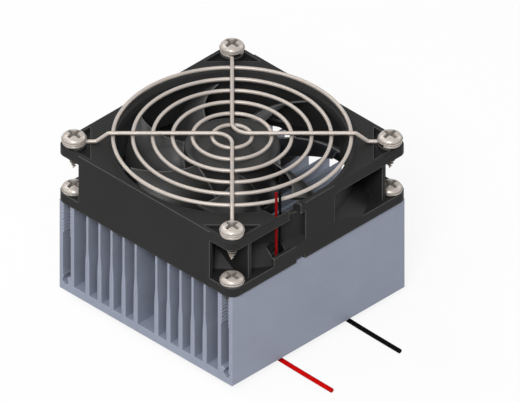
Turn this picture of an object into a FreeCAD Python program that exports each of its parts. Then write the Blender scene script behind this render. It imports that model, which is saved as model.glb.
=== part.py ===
# Thermoelectric cooling module: a thermoelectric element under a finned aluminium
# heat sink, cooled by an axial fan with a wire finger guard.
# Origin at the centre of the element's cold face, X across the fins,
# Y along the extrusion, Z up, all sizes in millimetres.
import FreeCAD, Part
import math
import operator
import os
import Sketcher
from FreeCAD import Placement, Rotation, Vector
from types import SimpleNamespace

# Driving sizes, one cell each
CELLS = {
    # thermoelectric element
    "plate_side": 40.0,
    "plate_thick": 0.8,
    "core_height": 2.3,
    "tab_thick": 0.4,
    "tab_width": 3.6,
    "tab_clearance": 0.1,
    "pellet_side": 3.2,
    "pellet_pitch": 6.0,
    "seal_inset": 0.3,
    "seal_wall": 0.8,
    # heat sink
    "sink_width": 90.0,
    "sink_length": 90.0,
    "sink_height": 40.0,
    "base_thick": 3.5,
    "fin_pitch": 6.3,
    "first_fin": 5.4,
    "fin_root": 2.0,
    "fin_tip": 1.0,
    "fin_taper_start": 12.5,
    "fin_taper_end": 22.5,
    "channel_width": 4.2,
    "channel_floor": 6.6,
    "channel_inner_wall": 1.6,
    "ridge_start": 25.4,
    "ridge_pitch": 1.5,
    "ridge_depth": 0.5,
    "port_radius": 1.6,
    "port_height": 4.3,
    "port_offset": 0.8,
    "port_slot": 2.1,
    "port_lead_in": 0.6,
    # fan frame
    "fan_side": 92.0,
    "fan_depth": 25.0,
    "hole_spacing": 82.5,
    "hole_radius": 2.2,
    "corner_radius": 4.0,
    "flange_thick": 4.0,
    "flange_edge_bevel": 0.4,
    "throat_radius": 42.6,
    "barrel_wall": 2.25,
    "bell_round": 2.8,
    "flare_height": 10.1,
    "flare_lip": 2.0,
    "side_wall": 1.5,
    "side_wall_half": 34.2,
    "rib_start": 28.0,
    "flat_half": 7.6,
    "rib_inset": 1.8,
    "recess_chord": 52.3,
    "recess_depth": 2.0,
    "recess_rim": 1.6,
    "boss_radius": 4.45,
    "strut_height": 3.6,
    "strut_count": 3,
    "strut_width": 4.0,
    "lead_strut_width": 6.6,
    "lead_strut_angle": -24.4,
    "lead_channel_inset": 0.8,
    "motor_base_radius": 17.6,
    "motor_base_lift": 0.4,
    "motor_base_floor": 1.8,
    "motor_rim_height": 4.6,
    "motor_rim_wall": 1.2,
    "board_step_radius": 7.5,
    "board_lift": 3.4,
    "stator_step_radius": 5.6,
    "stator_lift": 2.6,
    "tube_outer_radius": 4.7,
    "tube_bore_radius": 3.5,
    "tube_height": 17.6,
    # fan lead channel in the frame
    "lead_notch_inner": 40.0,
    "lead_notch_outer": 44.8,
    "lead_notch_start": -22.2,
    "lead_notch_end": -16.8,
    "slot_inner": 38.0,
    "slot_outer": 45.0,
    "slot_start": -22.0,
    "slot_mouth": -16.1,
    "slot_end": -10.0,
    "tab_start": -24.1,
    "tab_end": -12.3,
    "tab_rise": 7.5,
    "tab_notch_end": -8.0,
    "tab_notch_rise": 1.8,
    "strut_channel_width": 3.5,
    "strut_channel_depth": 1.9,
    # impeller
    "hub_radius": 17.8,
    "hub_wall": 1.2,
    "hub_top_wall": 1.4,
    "hub_drop": 0.6,
    "hub_height": 19.0,
    "hub_edge_bevel": 1.0,
    "hub_boss_radius": 3.5,
    "hub_boss_depth": 4.6,
    "blade_count": 7,
    "blade_thick": 1.3,
    "tip_radius": 39.9,
    "blade_top_drop": 1.4,
    "blade_height": 16.6,
    "blade_span_angle": 28.5,
    "blade_sweep_angle": 22.5,
    "blade_phase": 61.5,
    "blade_camber": 0.09,
    # fan motor
    "yoke_wall": 1.0,
    "yoke_height": 15.5,
    "magnet_thick": 2.0,
    "magnet_height": 10.0,
    "magnet_drop": 3.5,
    "shaft_radius": 1.5,
    "shaft_length": 21.0,
    "shaft_clearance": 0.03,
    "sleeve_lift": 4.6,
    "sleeve_length": 12.4,
    "thrust_plate_thick": 0.5,
    "shaft_end_gap": 0.15,
    "clip_thick": 0.5,
    "clip_radius": 2.8,
    "clip_gap": 0.3,
    "clip_mouth": 2.4,
    "washer_thick": 0.3,
    "washer_radius": 3.0,
    "core_thick": 7.0,
    "core_ring_radius": 6.2,
    "core_clearance": 0.05,
    "pole_count": 4,
    "pole_width": 3.4,
    "pole_shoe_inner": 12.0,
    "pole_shoe_outer": 13.2,
    "pole_shoe_angle": 72.0,
    "insulator_thick": 0.8,
    "insulator_margin": 0.4,
    "insulator_reach": 11.8,
    "coil_inner": 6.6,
    "coil_outer": 11.1,
    "coil_wall": 2.0,
    "coil_edge_bevel": 0.8,
    "board_radius": 13.0,
    "board_thick": 1.0,
    "chip_inset": 3.0,
    # finger guard
    "ring_count": 6,
    "ring_outer": 44.0,
    "wire_radius": 0.75,
    "ring_rise": 3.0,
    "strut_bend": 6.5,
    "strut_step_inner": 45.6,
    "strut_step_outer": 50.2,
    "strut_step_bend": 1.6,
    "eyelet_radius": 3.7,
    "eyelet_neck": 2.0,
    "eyelet_turn": 285.0,
    # screws
    "screw_head_radius": 4.75,
    "screw_rim": 1.0,
    "screw_head_height": 3.6,
    "screw_dome_radius": 3.0,
    "screw_dome_drop": 0.8,
    "screw_crown": 1.4,
    "screw_tip": 0.2,
    "screw_shank_radius": 1.75,
    "screw_length": 13.0,
    "screw_point": 5.0,
    "cross_length": 5.2,
    "cross_width": 1.3,
    "cross_depth": 2.2,
    # leads
    "fan_lead_radius": 0.5,
    "fan_lead_apart": 2.0,
    "fan_lead_apart_inside": 1.82,
    "fan_lead_lift": 0.75,
    "fan_lead_corner": 3.9,
    "fan_lead_start_gap": 0.25,
    "fan_lead_reach": 44.0,
    "fan_lead_mid": -20.0,
    "fan_lead_rise": 75.0,
    "module_lead_radius": 0.9,
    "module_lead_rest": 0.06,
    "module_lead_side": 17.75,
    "module_lead_reach": 70.0,
}

# Reach of a cutting shape past what it cuts, and slack when edges are picked by place
OVERSHOOT = 1.0
NEAR = 0.001

# Flats round the many-sided forms
WIRE_SIDES = 6
SCREW_SIDES = 10
RING_SIDES = 24
HOLE_SIDES = 12
HUB_SIDES = 42
BORE_SIDES = 48

doc = FreeCAD.newDocument("cooling_module")
sheet = doc.addObject("Spreadsheet::Sheet", "sizes")
for row, (alias, number) in enumerate(CELLS.items(), start=1):
    sheet.set("A%d" % row, alias)
    sheet.set("B%d" % row, str(number))
    sheet.setAlias("B%d" % row, alias)
doc.recompute()


class Size:
    """A size with its formula over the sheet's cells and its present value."""

    def __init__(self, formula, value):
        self.formula = formula
        self.value = float(value)

    def __float__(self):
        return self.value

    def __add__(self, other):
        return combined(self, "+", other)

    def __radd__(self, other):
        return combined(other, "+", self)

    def __sub__(self, other):
        return combined(self, "-", other)

    def __rsub__(self, other):
        return combined(other, "-", self)

    def __mul__(self, other):
        return combined(self, "*", other)

    def __rmul__(self, other):
        return combined(other, "*", self)

    def __truediv__(self, other):
        return combined(self, "/", other)

    def __neg__(self):
        return combined(0.0, "-", self)


OPERATIONS = {"+": operator.add, "-": operator.sub, "*": operator.mul, "/": operator.truediv}


def as_size(thing):
    return thing if isinstance(thing, Size) else Size(repr(float(thing)), thing)


def combined(left, sign, right):
    left = as_size(left)
    right = as_size(right)
    formula = "(%s %s %s)" % (left.formula, sign, right.formula)
    return Size(formula, OPERATIONS[sign](left.value, right.value))


def bind(thing, path, size):
    """Tie a property to the sheet."""
    thing.setExpression(path, as_size(size).formula)


d = SimpleNamespace(**{name: Size("sizes." + name, sheet.get(name)) for name in CELLS})

# Levels and places that several pieces share
sink_foot = 2 * d.plate_thick + d.core_height
sink_top = sink_foot + d.sink_height
fan_foot = sink_top
fan_top = fan_foot + d.fan_depth
hole_line = d.hole_spacing / 2
barrel_radius = d.throat_radius + d.barrel_wall
flare_top = fan_foot + d.flare_height
flare_radius = barrel_radius + d.flare_height - d.flange_thick
side_face = d.fan_side / 2
wall_inner = side_face - d.side_wall
hub_top = fan_top - d.hub_drop
hub_foot = hub_top - d.hub_height
motor_floor = fan_foot + d.motor_base_lift
board_foot = motor_floor + d.motor_base_floor + d.board_lift
board_top = board_foot + d.board_thick
stator_foot = board_top + d.stator_lift
core_foot = stator_foot + d.insulator_thick
core_top = core_foot + d.core_thick
yoke_radius = d.hub_radius - d.hub_wall
yoke_top = hub_top - d.hub_top_wall
channel_start = d.motor_base_radius - d.lead_channel_inset
shaft_foot = motor_floor + d.motor_base_floor + d.thrust_plate_thick + d.shaft_end_gap
sleeve_foot = fan_foot + d.sleeve_lift
sleeve_top = sleeve_foot + d.sleeve_length
guard_wire_level = fan_top + d.wire_radius
ring_level = fan_top + d.ring_rise
strut_level = ring_level + 2 * d.wire_radius
guard_screw_seat = fan_top + 2 * d.wire_radius
fan_screw_seat = fan_foot + d.flange_thick

nodes = {}


# Helpers for sketches and features

def origin_feature(body, role):
    return next(item for item in body.Origin.OriginFeatures if item.Role == role)


def new_body(label):
    return doc.addObject("PartDesign::Body", label)


def new_sketch(body, label, role="XY_Plane", height=0.0):
    sketch = body.newObject("Sketcher::SketchObject", label)
    sketch.AttachmentSupport = [(origin_feature(body, role), "")]
    sketch.MapMode = "FlatFace"
    bind(sketch, "AttachmentOffset.Base.z", height)
    return sketch


def tie(sketch, kind, edge, point, size):
    """One coordinate of a sketch point, tied to its size."""
    index = sketch.addConstraint(Sketcher.Constraint(kind, edge, point, float(size)))
    bind(sketch, "Constraints[%d]" % index, size)


def outline(sketch, corners):
    """Closed outline of straight edges, each corner tied to its sizes."""
    first = sketch.GeometryCount
    count = len(corners)
    spots = [Vector(float(x), float(y), 0) for x, y in corners]
    edges = [Part.LineSegment(spots[i], spots[(i + 1) % count]) for i in range(count)]
    sketch.addGeometry(edges, False)
    for i, (x, y) in enumerate(corners):
        following = first + (i + 1) % count
        sketch.addConstraint(Sketcher.Constraint("Coincident", first + i, 2, following, 1))
        tie(sketch, "DistanceX", first + i, 1, x)
        tie(sketch, "DistanceY", first + i, 1, y)


def rectangle(sketch, low_x, low_y, high_x, high_y):
    outline(sketch, [(low_x, low_y), (high_x, low_y), (high_x, high_y), (low_x, high_y)])


def circle(sketch, x, y, radius):
    centre = Vector(float(x), float(y), 0)
    index = sketch.addGeometry(Part.Circle(centre, Vector(0, 0, 1), float(radius)), False)
    number = sketch.addConstraint(Sketcher.Constraint("Radius", index, float(radius)))
    bind(sketch, "Constraints[%d]" % number, radius)
    tie(sketch, "DistanceX", index, 3, x)
    tie(sketch, "DistanceY", index, 3, y)


def many_sided(sketch, radius, sides=RING_SIDES, x=0.0, y=0.0):
    """Regular outline with its corners on the radius."""
    turns = [math.radians(360.0 * i / sides) for i in range(sides)]
    outline(sketch, [(x + radius * round(math.cos(a), 9), y + radius * round(math.sin(a), 9))
                     for a in turns])


def many_sided_bore(sketch, radius):
    """Regular outline with the middle of its sides on the radius."""
    many_sided(sketch, radius / math.cos(math.pi / RING_SIDES))


def pad(body, sketch, length, symmetric=False):
    feature = body.newObject("PartDesign::Pad", sketch.Name + "_pad")
    feature.Profile = sketch
    feature.SideType = "Symmetric" if symmetric else "One side"
    bind(feature, "Length", length)
    return feature


def pocket(body, sketch, length, symmetric=False, upward=False):
    """Cut a sketch away, downward from its plane unless symmetric or upward."""
    doc.recompute()
    before = body.Shape.Volume
    feature = body.newObject("PartDesign::Pocket", sketch.Name + "_pocket")
    feature.Profile = sketch
    feature.SideType = "Symmetric" if symmetric else "One side"
    feature.Reversed = upward
    bind(feature, "Length", length)
    doc.recompute()
    if not body.Shape.Volume < before:
        raise RuntimeError("nothing cut by " + feature.Name)
    return feature


def turned(label, corners):
    """A body of revolution about Z from an outline of radius and height."""
    body = new_body(label)
    sketch = new_sketch(body, label + "_profile", "XZ_Plane")
    outline(sketch, corners)
    feature = body.newObject("PartDesign::Revolution", label + "_turn")
    feature.Profile = sketch
    feature.ReferenceAxis = (sketch, ["V_Axis"])
    return body


def polar(body, label, originals, count):
    """Repeat features about Z."""
    pattern = body.newObject("PartDesign::PolarPattern", label)
    pattern.Originals = originals
    pattern.Axis = (origin_feature(body, "Z_Axis"), [""])
    pattern.Angle = 360
    pattern.Occurrences = int(float(count))
    body.Tip = pattern
    return pattern


def block(label, low, high):
    """A box between two corners, tied to its sizes."""
    box = doc.addObject("Part::Box", label)
    for axis, side, start, end in zip("xyz", ("Length", "Width", "Height"), low, high):
        bind(box, "Placement.Base." + axis, start)
        bind(box, side, as_size(end) - start)
    return box


def solid_node(label, shape, base=Vector(0, 0, 0)):
    """A piece whose shape is worked out from the sheet's values."""
    feature = doc.addObject("Part::Feature", label)
    feature.Shape = shape
    feature.Placement = Placement(base, Rotation())
    nodes[label] = feature
    return feature


def keep(label, thing):
    thing.Label = label
    nodes[label] = thing


# Helpers for solids with flat sides

def flat_face(corners):
    return Part.Face(Part.makePolygon(corners + corners[:1]))


def two_triangles(a, b, c, e):
    return [flat_face([a, b, c]), flat_face([a, c, e])]


def closed_solid(faces):
    shell = Part.makeShell(faces)
    shell.sewShape()
    solid = Part.makeSolid(shell)
    if solid.Volume < 0:
        solid.reverse()
    return solid


def side_faces(near, far):
    """Flat sides from one ring of corners to the next."""
    return [flat_face([near[k - 1], near[k], far[k], far[k - 1]]) for k in range(len(near))]


def stacked(levels, sides):
    """A many-sided turned form from its radii and heights."""
    rings = []
    for radius, height in levels:
        turns = [2 * math.pi * i / sides for i in range(sides)]
        rings.append([Vector(radius * math.cos(a), radius * math.sin(a), height) for a in turns])
    faces = [flat_face(rings[0]), flat_face(rings[-1])]
    for near, far in zip(rings, rings[1:]):
        faces += side_faces(near, far)
    return closed_solid(faces)


# Helpers for bent wire and cord

def wire_corners(radius, way):
    """Corners of a wire's section across its way, flats above and below."""
    side = way.cross(Vector(0, 0, 1)) if abs(way.z) < 0.9 else Vector(0, 1, 0)
    side.normalize()
    above = side.cross(way)
    reach = radius / math.cos(math.pi / WIRE_SIDES)
    turns = [2 * math.pi * k / WIRE_SIDES for k in range(WIRE_SIDES)]
    return [(side * math.cos(a) + above * math.sin(a)) * reach for a in turns]


def bent_wire(points, radius, closed=False):
    """A many-sided wire along straight runs, mitred where two of them meet."""
    count = len(points)
    runs = count if closed else count - 1
    ways = [(points[(i + 1) % count] - points[i]).normalize() for i in range(runs)]
    rings = []
    for i, point in enumerate(points):
        before = ways[i - 1] if closed or i else ways[0]
        after = ways[min(i, runs - 1)]
        mitre = before + after
        rings.append([point + corner - before * (corner.dot(mitre) / before.dot(mitre))
                      for corner in wire_corners(radius, before)])
    faces = [] if closed else [flat_face(rings[0]), flat_face(rings[-1])]
    for i in range(runs):
        faces += side_faces(rings[i], rings[(i + 1) % count])
    return closed_solid(faces)


def bend(before, corner, after, radius, steps):
    """Points of a tangent arc that takes the place of a corner."""
    inward = (corner - before).normalize()
    outward = (after - corner).normalize()
    half_turn = inward.getAngle(outward) / 2
    enter = corner - inward * (radius * math.tan(half_turn))
    towards = (outward - inward).normalize()
    centre = corner + towards * (radius / math.cos(half_turn))
    spoke = enter - centre
    axis = inward.cross(outward)
    share = math.degrees(2 * half_turn) / steps
    return [centre + Rotation(axis, share * i).multVec(spoke) for i in range(steps + 1)]


def cord(label, points, radius):
    """A cord whose every bend is as wide as its two runs allow."""
    runs = [(b - a).Length for a, b in zip(points, points[1:])]
    radii = []
    edges = []
    start = points[0]
    for i in range(1, len(points) - 1):
        turn = (points[i] - points[i - 1]).getAngle(points[i + 1] - points[i])
        radii.append(0.45 * min(runs[i - 1], runs[i]) / math.tan(turn / 2))
        enter, middle, leave = bend(*points[i - 1:i + 2], radii[-1], 2)
        edges.append(Part.LineSegment(start, enter).toShape())
        edges.append(Part.Arc(enter, middle, leave).toShape())
        start = leave
    edges.append(Part.LineSegment(start, points[-1]).toShape())
    way = (points[1] - points[0]).normalize()
    corners = [points[0] + corner for corner in wire_corners(radius, way)]
    section = Part.makePolygon(corners + corners[:1])
    shape = Part.Wire(edges).makePipeShell([section], True, False)
    length = sum(edge.Length for edge in edges)
    expected = Part.Face(section).Area * length
    print(label, "bend radii", [round(r, 1) for r in radii], "length", round(length, 1),
          "volume ratio", round(shape.Volume / expected, 4))
    solid_node(label, shape)


# Thermoelectric element

def thermoelectric_element():
    half = d.plate_side / 2
    cold = block("cold_side_plate", (-half, -half, 0.0), (half, half, d.plate_thick))
    keep("cold_side_plate", cold)
    hot = block("hot_side_plate", (-half, -half, sink_foot - d.plate_thick), (half, half, sink_foot))
    keep("hot_side_plate", hot)

    outer = half - d.seal_inset
    inner = outer - d.seal_wall
    seal = new_body("edge_seal")
    sketch = new_sketch(seal, "seal_outline", "XY_Plane", d.plate_thick)
    rectangle(sketch, -outer, -outer, outer, outer)
    rectangle(sketch, -inner, -inner, inner, inner)
    pad(seal, sketch, d.core_height)
    keep("edge_seal", seal)

    solid_node("semiconductor_pellets", Part.makeCompound([pellet(*spot) for spot in pellet_spots()]))
    solid_node("cold_side_tabs", Part.makeCompound(cold_tabs()))
    solid_node("hot_side_tabs", Part.makeCompound(hot_tabs()))


PELLET_ROWS = 6


def pellet_spots():
    """Pellet centres in the order of the current, row after row and back."""
    pitch = float(d.pellet_pitch)
    middle = (PELLET_ROWS - 1) / 2
    spots = []
    for row in range(PELLET_ROWS):
        columns = range(PELLET_ROWS)
        for column in (columns if row % 2 else reversed(columns)):
            spots.append(((column - middle) * pitch, (row - middle) * pitch))
    return spots


def pellet(x, y):
    side = float(d.pellet_side)
    low = float(d.plate_thick + d.tab_thick)
    height = float(d.core_height - 2 * d.tab_thick)
    return Part.makeBox(side, side, height, Vector(x - side / 2, y - side / 2, low))


def tab(first, second, low):
    """A copper tab that covers two pellets side by side."""
    half = float(d.tab_width) / 2
    x_range = sorted((first[0], second[0]))
    y_range = sorted((first[1], second[1]))
    corner = Vector(x_range[0] - half, y_range[0] - half, low)
    span_x = x_range[1] - x_range[0] + 2 * half
    span_y = y_range[1] - y_range[0] + 2 * half
    return Part.makeBox(span_x, span_y, float(d.tab_thick), corner)


def cold_tabs():
    spots = pellet_spots()
    return [tab(a, b, float(d.plate_thick)) for a, b in zip(spots[0::2], spots[1::2])]


def hot_tabs():
    """Tabs between the couples, and a longer one under each lead."""
    spots = pellet_spots()
    low = float(sink_foot - d.plate_thick - d.tab_thick)
    tabs = [tab(a, b, low) for a, b in zip(spots[1:-1:2], spots[2::2])]
    seal_face = d.plate_side / 2 - d.seal_inset - d.seal_wall
    lead_end = float(seal_face - d.tab_clearance - d.tab_width / 2)
    for spot in (spots[0], spots[-1]):
        tabs.append(tab(spot, (lead_end, spot[1]), low))
    return tabs


# Heat sink, one extrusion along Y

# Share of the taper's height and of its depth along a fin's curved flank
FIN_CURVE = ((0.0, 0.0), (0.3, 0.14), (0.7, 0.86), (1.0, 1.0))


def fin_gap(left, left_grows, right, right_grows):
    """Outline of the air gap between two fin flanks; a flank that grows curves away above its root."""
    floor = sink_foot + d.base_thick
    top = sink_top + OVERSHOOT
    corners = [(left, floor), (right, floor)]
    corners += fin_flank(right, 1 if right_grows else 0) + [(right + fin_lean(right_grows), top)]
    corners += [(left - fin_lean(left_grows), top)] + fin_flank(left, -1 if left_grows else 0)[::-1]
    return corners


def fin_lean(grows):
    return (d.fin_root - d.fin_tip) / 2 if grows else 0.0


def fin_flank(x, way):
    """Corners of a fin's flank where it thins; a straight wall has none."""
    if not way:
        return []
    start = sink_foot + d.base_thick + d.fin_taper_start
    rise = d.fin_taper_end - d.fin_taper_start
    return [(x + way * fin_lean(True) * depth, start + rise * height) for height, depth in FIN_CURVE]


def screw_channel(side):
    """Outline of a ridged screw channel with the neck of the end port below it."""
    floor = sink_foot + d.channel_floor
    inner = hole_line - d.channel_width / 2
    outer = hole_line + d.channel_width / 2
    port = hole_line + d.port_offset
    neck = d.port_slot / 2
    count = int(float(d.sink_height - d.ridge_start) / float(d.ridge_pitch))
    start = sink_foot + d.ridge_start
    corners = [(inner, floor), (port - neck - d.port_lead_in, floor),
               (port - neck, floor - d.port_lead_in), (port - neck, sink_foot + d.port_height),
               (port + neck, sink_foot + d.port_height), (port + neck, floor), (outer, floor)]
    outer_wall = []
    inner_wall = []
    for i in range(count):
        foot = start + i * d.ridge_pitch
        crest = foot + d.ridge_pitch / 2
        outer_wall += [(outer, foot), (outer - d.ridge_depth, crest)]
        inner_wall += [(inner, foot), (inner + d.ridge_depth, crest)]
    end = start + count * d.ridge_pitch
    top = sink_top + OVERSHOOT
    corners += outer_wall + [(outer, end), (outer, top), (inner, top), (inner, end)] + inner_wall[::-1]
    return [(side * x, z) for x, z in corners]


def heat_sink():
    body = new_body("heat_sink")
    block_sketch = new_sketch(body, "sink_block", "XZ_Plane")
    half = d.sink_width / 2
    rectangle(block_sketch, -half, sink_foot, half, sink_top)
    pad(body, block_sketch, d.sink_length, symmetric=True)

    gaps = new_sketch(body, "sink_gaps", "XZ_Plane")
    root = d.fin_root / 2
    inner_wall = hole_line - d.channel_width / 2 - d.channel_inner_wall
    outline(gaps, fin_gap(root - d.first_fin, True, d.first_fin - root, True))
    fins = [d.first_fin + i * d.fin_pitch for i in range(5)]
    for near, far in zip(fins, fins[1:]):
        outline(gaps, fin_gap(near + root, True, far - root, True))
        outline(gaps, fin_gap(root - far, True, -near - root, True))
    outline(gaps, fin_gap(fins[-1] + root, True, inner_wall, False))
    outline(gaps, fin_gap(-inner_wall, False, -fins[-1] - root, True))
    pocket(body, gaps, d.sink_length + 2 * OVERSHOOT, symmetric=True)

    channels = new_sketch(body, "sink_channels", "XZ_Plane")
    outline(channels, screw_channel(1))
    outline(channels, screw_channel(-1))
    pocket(body, channels, d.sink_length + 2 * OVERSHOOT, symmetric=True)

    ports = new_sketch(body, "sink_ports", "XZ_Plane")
    for side in (1, -1):
        circle(ports, side * (hole_line + d.port_offset), sink_foot + d.port_height, d.port_radius)
    pocket(body, ports, d.sink_length + 2 * OVERSHOOT, symmetric=True)
    keep("heat_sink", body)


# Fan frame

CORNERS = [(1, 1), (-1, 1), (-1, -1), (1, -1)]


def frame_shell():
    """Barrel, flanges and side walls before the bore is cut."""
    body = turned("frame_shell", [
        (0.0, fan_foot), (flare_radius, fan_foot), (flare_radius, fan_foot + d.flange_thick),
        (barrel_radius, flare_top), (barrel_radius, fan_top), (0.0, fan_top)])

    for label, low in (("lower_flange", fan_foot), ("upper_flange", fan_top - d.flange_thick)):
        sketch = new_sketch(body, label, "XY_Plane", low)
        rectangle(sketch, -side_face, -side_face, side_face, side_face)
        pad(body, sketch, d.flange_thick)
    doc.recompute()
    flanges = body.Tip
    corners = named_edges(body, lambda edge: is_upright(edge) and at_corner(edge, float(side_face)))
    rounding = body.newObject("PartDesign::Fillet", "flange_corners")
    rounding.Base = (flanges, corners)
    bind(rounding, "Radius", d.corner_radius)
    doc.recompute()
    rim = named_edges(body, lambda edge: on_top_rim(edge, float(side_face), float(fan_top)))
    bevel = body.newObject("PartDesign::Chamfer", "flange_rim")
    bevel.Base = (rounding, rim)
    bind(bevel, "Size", d.flange_edge_bevel)

    walls = new_sketch(body, "side_walls", "XY_Plane", fan_foot)
    for side in (1, -1):
        low_y, high_y = sorted((side * wall_inner, side * side_face), key=float)
        rectangle(walls, -d.side_wall_half, low_y, d.side_wall_half, high_y)
        low_x, high_x = sorted((side * d.throat_radius, side * side_face), key=float)
        rectangle(walls, low_x, -d.flat_half, high_x, d.flat_half)
        rib_x = sorted((side * d.rib_start, side * (side_face - d.rib_inset)), key=float)
        for end in (1, -1):
            rib_y = sorted((end * d.side_wall_half, end * (d.side_wall_half + d.side_wall)), key=float)
            rectangle(walls, rib_x[0], rib_y[0], rib_x[1], rib_y[1])
    pad(body, walls, d.fan_depth)

    lead_tab = new_sketch(body, "lead_tab", "XY_Plane", fan_foot)
    rectangle(lead_tab, d.lead_notch_outer, d.tab_start, side_face, d.tab_end)
    pad(body, lead_tab, d.tab_rise)

    trim = new_sketch(body, "side_trim", "XY_Plane", fan_foot - OVERSHOOT)
    far = 2 * side_face
    rectangle(trim, -far, -far, far, far)
    rectangle(trim, -side_face, -side_face, side_face, side_face)
    pocket(body, trim, d.fan_depth + 2 * OVERSHOOT, upward=True)

    recesses = new_sketch(body, "corner_recesses", "XY_Plane", fan_top)
    edge = side_face - d.recess_rim
    short = d.recess_chord * math.sqrt(2) - edge
    for sx, sy in CORNERS:
        outline(recesses, [(sx * short, sy * edge), (sx * edge, sy * edge), (sx * edge, sy * short)])
    pocket(body, recesses, d.recess_depth)
    bosses = new_sketch(body, "screw_bosses", "XY_Plane", fan_top - d.recess_depth)
    holes = new_sketch(body, "screw_holes", "XY_Plane", fan_top + OVERSHOOT)
    for sx, sy in CORNERS:
        circle(bosses, sx * hole_line, sy * hole_line, d.boss_radius)
        many_sided(holes, d.hole_radius, HOLE_SIDES, sx * hole_line, sy * hole_line)
    pad(body, bosses, d.recess_depth)
    pocket(body, holes, d.fan_depth + 2 * OVERSHOOT)
    return body


def named_edges(body, wanted):
    """Names of the edges of a body's shape that a test picks."""
    return ["Edge%d" % i for i, edge in enumerate(body.Shape.Edges, start=1) if wanted(edge)]


def is_upright(edge):
    return len(edge.Vertexes) == 2 and abs(edge.tangentAt(edge.FirstParameter).z) > 0.999


def at_corner(edge, half):
    middle = edge.CenterOfMass
    return abs(abs(middle.x) - half) < NEAR and abs(abs(middle.y) - half) < NEAR


def on_top_rim(edge, half, top):
    """Whether an edge runs round the outside of the upper flange's top."""
    middle = edge.valueAt((edge.FirstParameter + edge.LastParameter) / 2)
    outside = max(abs(middle.x), abs(middle.y)) > half - float(d.corner_radius)
    return abs(middle.z - top) < NEAR and outside


BELL_STEPS = 2


def bore_tool():
    """The air passage: bell mouth, throat and a flare that stays inside the side walls."""
    flare_end = flare_radius - d.barrel_wall
    lip = fan_foot + d.flare_lip
    neck = lip + flare_end - d.throat_radius
    below = fan_foot - OVERSHOOT
    levels = [(flare_end, below), (flare_end, lip), (d.throat_radius, neck)]
    for i in range(BELL_STEPS + 1):
        turn = math.pi / 2 * i / BELL_STEPS
        levels.append((d.throat_radius + d.bell_round * (1 - math.cos(turn)),
                       fan_top - d.bell_round * (1 - math.sin(turn))))
    levels.append((d.throat_radius + d.bell_round, fan_top + OVERSHOOT))
    flats = math.cos(math.pi / BORE_SIDES)
    passage = stacked([(float(radius) / flats, float(height)) for radius, height in levels], BORE_SIDES)
    inside = float(wall_inner)
    side = 2 * inside
    middle = float(neck + fan_top) / 2
    walled = Part.makeBox(side, side, middle - float(below), Vector(-inside, -inside, float(below)))
    wide = 2 * side
    open_top = Part.makeBox(wide, wide, wide, Vector(-side, -side, middle))
    tool = doc.addObject("Part::Feature", "bore_tool")
    tool.Shape = passage.common(walled.fuse(open_top))
    tool.Placement = Placement()
    return tool


def frame_spider():
    """Motor base with its bearing tube and the four struts that carry it."""
    base = motor_floor
    floor = base + d.motor_base_floor
    rim_top = fan_foot + d.motor_rim_height
    body = new_body("frame_spider")
    plate = new_sketch(body, "motor_base", "XY_Plane", base)
    many_sided(plate, d.motor_base_radius)
    pad(body, plate, rim_top - base)
    hollow = new_sketch(body, "motor_base_hollow", "XY_Plane", rim_top + OVERSHOOT)
    many_sided_bore(hollow, d.motor_base_radius - d.motor_rim_wall)
    pocket(body, hollow, rim_top - floor + OVERSHOOT)
    for label, radius, top in (("board_step", d.board_step_radius, board_foot),
                               ("stator_step", d.stator_step_radius, stator_foot),
                               ("bearing_tube", d.tube_outer_radius, fan_foot + d.tube_height)):
        step = new_sketch(body, label, "XY_Plane", base)
        many_sided(step, radius)
        pad(body, step, top - base)
    bore = new_sketch(body, "tube_bore", "XY_Plane", fan_foot + d.tube_height + OVERSHOOT)
    many_sided_bore(bore, d.tube_bore_radius)
    pocket(body, bore, fan_foot + d.tube_height - floor + OVERSHOOT)

    struts = new_sketch(body, "struts", "XY_Plane", base)
    count = int(float(d.strut_count))
    for i in range(count):
        width = d.lead_strut_width if i == 0 else d.strut_width
        strut_outline(struts, float(d.lead_strut_angle) + 360 / count * i, channel_start, width)
    pad(body, struts, d.strut_height)

    channel = new_sketch(body, "strut_channel", "XY_Plane", base - OVERSHOOT)
    strut_outline(channel, float(d.lead_strut_angle), channel_start, d.strut_channel_width)
    pocket(body, channel, d.strut_channel_depth + OVERSHOOT, upward=True)
    return body


def strut_outline(sketch, angle, start, width):
    """A straight strut from the motor base into the side wall or the flare's wall."""
    wall = float(side_face - d.side_wall / 2)
    flare = float(flare_radius - d.barrel_wall / 2)
    along = Vector(math.cos(math.radians(angle)), math.sin(math.radians(angle)), 0)
    facing = round(angle / 90) * 90
    out = Vector(math.cos(math.radians(facing)), math.sin(math.radians(facing)), 0)
    across = Vector(-along.y, along.x, 0) * (float(width) / 2)
    spots = []
    for side in (-1, 1):
        offset = across * side
        reach = min((wall - offset.dot(out)) / along.dot(out), flare)
        ends = [offset + along * float(start), offset + along * reach]
        spots += ends if side < 0 else ends[::-1]
    for i in range(4):
        sketch.addGeometry(Part.LineSegment(spots[i], spots[(i + 1) % 4]), False)


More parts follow.
